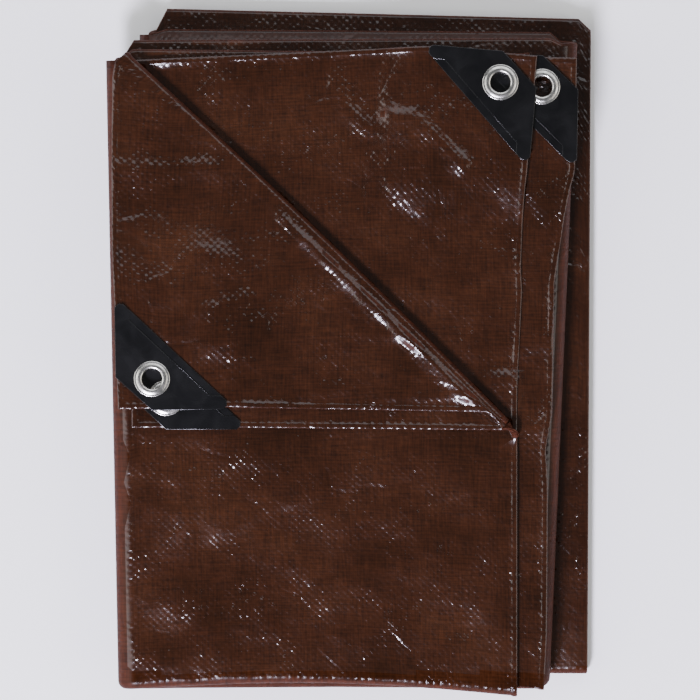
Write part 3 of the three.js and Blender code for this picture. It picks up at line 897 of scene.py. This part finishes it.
def eyeletMesh(tree, sockets):
    profile = eyelet["profile"] + [(radius, -height) for radius, height in reversed(eyelet["profile"][1:])]
    profile.reverse()
    middle = eyelet["turning"]
    mesh = bpy.data.meshes.new("eyeletProfile")
    mesh.from_pydata([((radius - middle) * mm, height * mm, 0) for radius, height in profile],
                     [(i, (i + 1) % len(profile)) for i in range(len(profile))], [])
    holder = addObject("eyeletProfile", mesh)
    modifier = holder.modifiers.new("turned", "NODES")
    modifier.node_group = tree
    modifier[sockets["Turning Radius"]] = middle * mm
    modifier[sockets["Steps Round"]] = eyelet["steps"]
    modifier[sockets["Metal"]] = eyeletMetal
    turned = bpy.data.meshes.new_from_object(holder.evaluated_get(bpy.context.evaluated_depsgraph_get()))
    holder.modifiers.clear()
    bpy.data.objects.remove(holder)
    turned.transform(Matrix.Scale(1 / mm, 4))
    return turned


# Moulded black polypropylene: satin, with the fine grain of a spark-eroded mould and faint flow marks
plate = {
    "black": "#040405",
    "chalky": "#070708",
    "grain": 0.9,  # mm, about three times as coarse as the real one, which is too fine to show
    "grainRise": 0.04,
    "flow": 14.0,  # mm
    "flowRise": 0.05,
    "gloss": (0.22, 0.3),
}
platePlastic, plateNode = newMaterial("mouldedPolypropylene")
plateMap = plateNode("TexCoord").outputs["Object"]
grain = plateNode("TexNoise", {"Scale": perMetre(plate["grain"]), "Detail": 2.0}, {"Vector": plateMap})
flow = plateNode("TexNoise", {"Scale": perMetre(plate["flow"]), "Detail": 3.0, "Distortion": 0.6},
                 {"Vector": plateMap})
stops = [(0.35, plate["black"]), (0.75, plate["chalky"])]
plateTone, plateGloss = toneAndGloss(plateNode, flow, stops, (0.3, 0.7), plate["gloss"])
parts = [(flow, plate["flowRise"]), (grain, plate["grainRise"])]
finishMaterial(plateNode, plateTone, plateGloss, parts, {"IOR": 1.49})

# Nickel-plated brass, pressed and rolled over: bright, with fine handling marks and duller grey patches
plating = {
    "bright": "#dcdad4",
    "dull": "#b4b1aa",
    "patch": 3.2,  # mm
    "scuff": 0.35,
    "scuffRise": 0.02,
    "gloss": (0.34, 0.16),  # roughness of the dull and of the bright patches
}
eyeletMetal, metalNode = newMaterial("nickelPlatedBrass")
metalMap = metalNode("TexCoord").outputs["Object"]
dulling = metalNode("TexNoise", {"Scale": perMetre(plating["patch"]), "Detail": 4.0}, {"Vector": metalMap})
scuffs = metalNode("TexNoise", {"Scale": perMetre(plating["scuff"]), "Detail": 2.0, "Distortion": 1.5},
                   {"Vector": metalMap})
stops = [(0.35, plating["dull"]), (0.6, plating["bright"])]
metalTone, metalGloss = toneAndGloss(metalNode, dulling, stops, (0.3, 0.65), plating["gloss"])
finishMaterial(metalNode, metalTone, metalGloss, [(scuffs, plating["scuffRise"])], {"Metallic": 1.0})

onePatch = patchMesh()
tree, sockets = turnedTree()
oneEyelet = eyeletMesh(tree, sockets)
fittings = []
for name, corner in corners.items():
    place = cornerPlace(name)
    number = corner["patch"]
    patchCopy, eyeletCopy = onePatch.copy(), oneEyelet.copy()
    patchCopy.transform(place)
    eyeletCopy.transform(place @ Matrix.Translation((-eyelet["across"], -eyelet["down"], 0)))
    fittings += [
        addPiece(f"cornerPatch{number}", patchCopy, platePlastic, f"corner_patch_{number}"),
        addPiece(f"eyelet{number}", eyeletCopy, eyeletMetal, f"eyelet_{number}"),
    ]
print("patches and eyelets made")


# Camera: straight down, as far away as the photo's flat perspective asks
view = {"at": (0.0003, 0.0, 2.54), "focus": 0.04, "width": 0.4074, "sensor": 36.0}
camera = bpy.data.cameras.new("camera")
camera.sensor_width = view["sensor"]
camera.lens = view["sensor"] * (view["at"][2] - view["focus"]) / view["width"]
camera.clip_end = 20
cameraObject = addObject("camera", camera)
cameraObject.location = view["at"]
bpy.context.scene.camera = cameraObject


def areaLight(name, at, size, power, colour):
    light = bpy.data.lights.new(name, "AREA")
    light.shape = "RECTANGLE"
    light.size, light.size_y = size
    light.energy = power
    light.color = linear(colour)[:3]
    made = addObject(name, light)
    made.location = at
    made.rotation_euler = Vector(at).to_track_quat("Z", "Y").to_euler()


# Plain soft studio light: one window on the lower left makes the sparks, three large panels fill in. Metres, watts.
studio = {
    "windowLight": ((-0.75, -1.8, 2.1), (0.6, 0.6), 230, "#ece8ff"),
    "skyLight": ((0.7, 3.6, 2.7), (6.0, 4.2), 150, "#f6f8ff"),
    "leftLight": ((-3.9, -0.4, 2.4), (4.5, 4.0), 170, "#ffffff"),
    "rightLight": ((3.9, -0.6, 2.4), (4.5, 4.0), 110, "#fffaf4"),
}
room = {"air": "#e9edf2", "airStrength": 0.2, "floor": "#f4f4f4", "floorRoughness": 0.8, "reach": 3}
for name, settings in studio.items():
    areaLight(name, *settings)
world = bpy.data.worlds.new("studio")
bpy.context.scene.world = world
world.use_nodes = True
air = world.node_tree.nodes["Background"].inputs
air["Color"].default_value, air["Strength"].default_value = linear(room["air"]), room["airStrength"]

floorMesh = bpy.data.meshes.new("floor")
reach = room["reach"]
floorMesh.from_pydata([(-reach, -reach, 0), (reach, -reach, 0), (reach, reach, 0), (-reach, reach, 0)], [],
                      [(0, 1, 2, 3)])
floor = addObject("floor", floorMesh)
floorPaint, floorNode = newMaterial("paleFloor")
floorShader = floorNode("BsdfPrincipled", {"Base Color": linear(room["floor"]), "Roughness": room["floorRoughness"]})
floorNode("OutputMaterial", {}, {"Surface": floorShader})
floorMesh.materials.append(floorPaint)

# Coated woven polyethylene: flat tapes woven square and sealed under a thin clear film, so it is glossy but
# never smooth. Each crossing of two tapes catches a spark of light, more where the film lies slack.
poly = {
    "brown": "#261106",
    "darker": "#1c0b03",
    "worn": "#2f1708",
    # The edge colour is painted sheen: a lighter, redder brown for the steep rolled edges of the folds, where light
    # catches them
    "edgeSheen": "#38190c",
    "gloss": (0.1, 0.24),  # roughness of tight and of rubbed film
    "dull": 0.62,  # roughness where the film is rubbed over the rolled edge of a fold
    "dullSpecular": 0.12,
    "tape": 2.1,  # mm, width of a tape, as on the real cloth
    "tapeRise": 0.21,  # mm, twice the real relief, so that it shows
    "crossings": (2.5, 1.5, 0.35),  # how unevenly they stand proud: power, gain and least share
    "filmRise": 0.26,
    "facet": 13.0,  # mm, crumpled facets between soft creases
    "facetRise": 0.45,
    "creaseNet": 38.0,  # mm between long sharp creases
    "creaseWidth": 0.045,  # as a share of that
    "creaseRise": -0.2,
    "bend": 12.0,  # mm, how far facets and creases wander
    "streak": (14.0, 1.1),  # mm, length and width of the faint streaks in the tapes
    "streakGain": 1.3,
    "weaveShade": 0.05,
}
# Soft patterns over the cut cloth: size in mm, then the detail, roughness and distortion of the noise
patterns = {
    "bend": (22.0, 2.0, 0.5, 0.0),
    "slack": (26.0, 3.0, 0.5, 0.0),
    "film": (5.0, 3.0, 0.6, 0.5),
    "kept": (34.0, 1.0, 0.5, 0.0),  # where the sharp creases show
    "tone": (60.0, 5.0, 0.6, 0.0),
}
tarpPoly, tarpNode = newMaterial("coatedWovenPolyethylene")
cutMap = tarpNode("UVMap", {"uv_map": "clothCut"})
pattern = {}
for name, (size, detail, rough, distortion) in patterns.items():
    settings = {"Scale": perMetre(size), "Detail": detail, "Roughness": rough, "Distortion": distortion}
    pattern[name] = tarpNode("TexNoise", settings, {"Vector": cutMap})
bent = tarpNode("VectorMath", {"operation": "SCALE", "Scale": poly["bend"] * mm},
                {"Vector": pattern["bend"].outputs["Color"]})
bentMap = tarpNode("VectorMath", {"operation": "ADD"}, {0: cutMap, 1: bent})
eachTape = tarpNode("VectorMath", {"operation": "SCALE", "Scale": perMetre(poly["tape"])}, {"Vector": cutMap})
halfWave = tarpNode("VectorMath", {"operation": "SCALE", "Scale": pi}, {"Vector": eachTape})
bothWays = tarpNode("VectorMath", {"operation": "SINE"}, {"Vector": halfWave})
tapes = tarpNode("SeparateXYZ", {}, {"Vector": bothWays}).outputs
crossing = tarpNode("Math", {"operation": "MULTIPLY"}, {0: tapes["X"], 1: tapes["Y"]})
oneCrossing = tarpNode("VectorMath", {"operation": "FLOOR"}, {0: eachTape})
chance = tarpNode("TexWhiteNoise", {"noise_dimensions": "2D"}, {"Vector": oneCrossing})
power, gain, least = poly["crossings"]
uneven = tarpNode("Math", {"operation": "POWER", 1: power}, {0: chance})
proud = tarpNode("Math", {"operation": "MULTIPLY_ADD", 1: gain, 2: least}, {0: uneven})
slack = tarpNode("MapRange", {"From Min": 0.42, "From Max": 0.68, "To Min": 0.35, "To Max": 1.25},
                 {"Value": pattern["slack"]})
tapeHeight = crossing
for share in (proud, slack):
    tapeHeight = tarpNode("Math", {"operation": "MULTIPLY"}, {0: tapeHeight, 1: share})
facets = tarpNode("TexVoronoi", {"feature": "F1", "Scale": perMetre(poly["facet"])}, {"Vector": bentMap})
net = tarpNode("TexVoronoi", {"feature": "DISTANCE_TO_EDGE", "Scale": perMetre(poly["creaseNet"])},
               {"Vector": bentMap})
sharp = tarpNode("MapRange", {"From Max": poly["creaseWidth"], "To Min": 1.0, "To Max": 0.0}, {"Value": net})
kept = tarpNode("MapRange", {"From Min": 0.48, "From Max": 0.62}, {"Value": pattern["kept"]})
creaseLine = tarpNode("Math", {"operation": "MULTIPLY"}, {0: sharp, 1: kept})
long, narrow = (perMetre(length) for length in poly["streak"])
streaks = []
for stretch in ((long, narrow, 1), (narrow, long, 1)):
    drawn = tarpNode("VectorMath", {"operation": "MULTIPLY", 1: stretch}, {0: cutMap})
    streaks.append(tarpNode("TexNoise", {"Scale": 1.0, "Detail": 2.0}, {"Vector": drawn}))
streak = tarpNode("Math", {"operation": "ADD"}, {0: streaks[0], 1: streaks[1]})
gain = poly["streakGain"]
contrast = tarpNode("Math", {"operation": "MULTIPLY_ADD", 1: gain, 2: 1 - gain}, {0: streak})
shade = tarpNode("Math", {"operation": "MULTIPLY_ADD", 1: poly["weaveShade"]}, {0: crossing, 2: contrast})
stops = [(0.3, poly["darker"]), (0.72, poly["worn"]), (0.5, poly["brown"])]
tone, rubbed = toneAndGloss(tarpNode, pattern["tone"], stops, (0.3, 0.7), poly["gloss"])
# Where the cloth stands steeply round a fold, its colour turns to the edge colour, a painted sheen, and its film
# turns dull
rolled = tarpNode("Attribute", {"attribute_name": "rolled"}).outputs["Fac"]
base = tarpNode("Mix", {"data_type": "RGBA", 7: linear(poly["edgeSheen"])}, {0: rolled, 6: tone}).outputs[2]
tint = tarpNode("VectorMath", {"operation": "SCALE"}, {0: base, "Scale": shade})
roughness = tarpNode("Mix", {"data_type": "FLOAT", "B": poly["dull"]}, {"Factor": rolled, "A": rubbed})
parts = [(tapeHeight, poly["tapeRise"] / 2), (pattern["film"], poly["filmRise"]), (facets, poly["facetRise"]),
         (creaseLine, poly["creaseRise"])]
tarpShader = finishMaterial(tarpNode, tint, roughness, parts, {"IOR": 1.51})

# The same cloth where it rolls round a fold: there the film is cracked and rubbed, and hardly shines
foldPoly = tarpPoly.copy()
foldPoly.name = "rubbedWovenPolyethylene"
foldPoly.node_tree.nodes[tarpShader.name].inputs["Specular IOR Level"].default_value = poly["dullSpecular"]
for material in (tarpPoly, foldPoly):
    tarpCloth.data.materials.append(material)
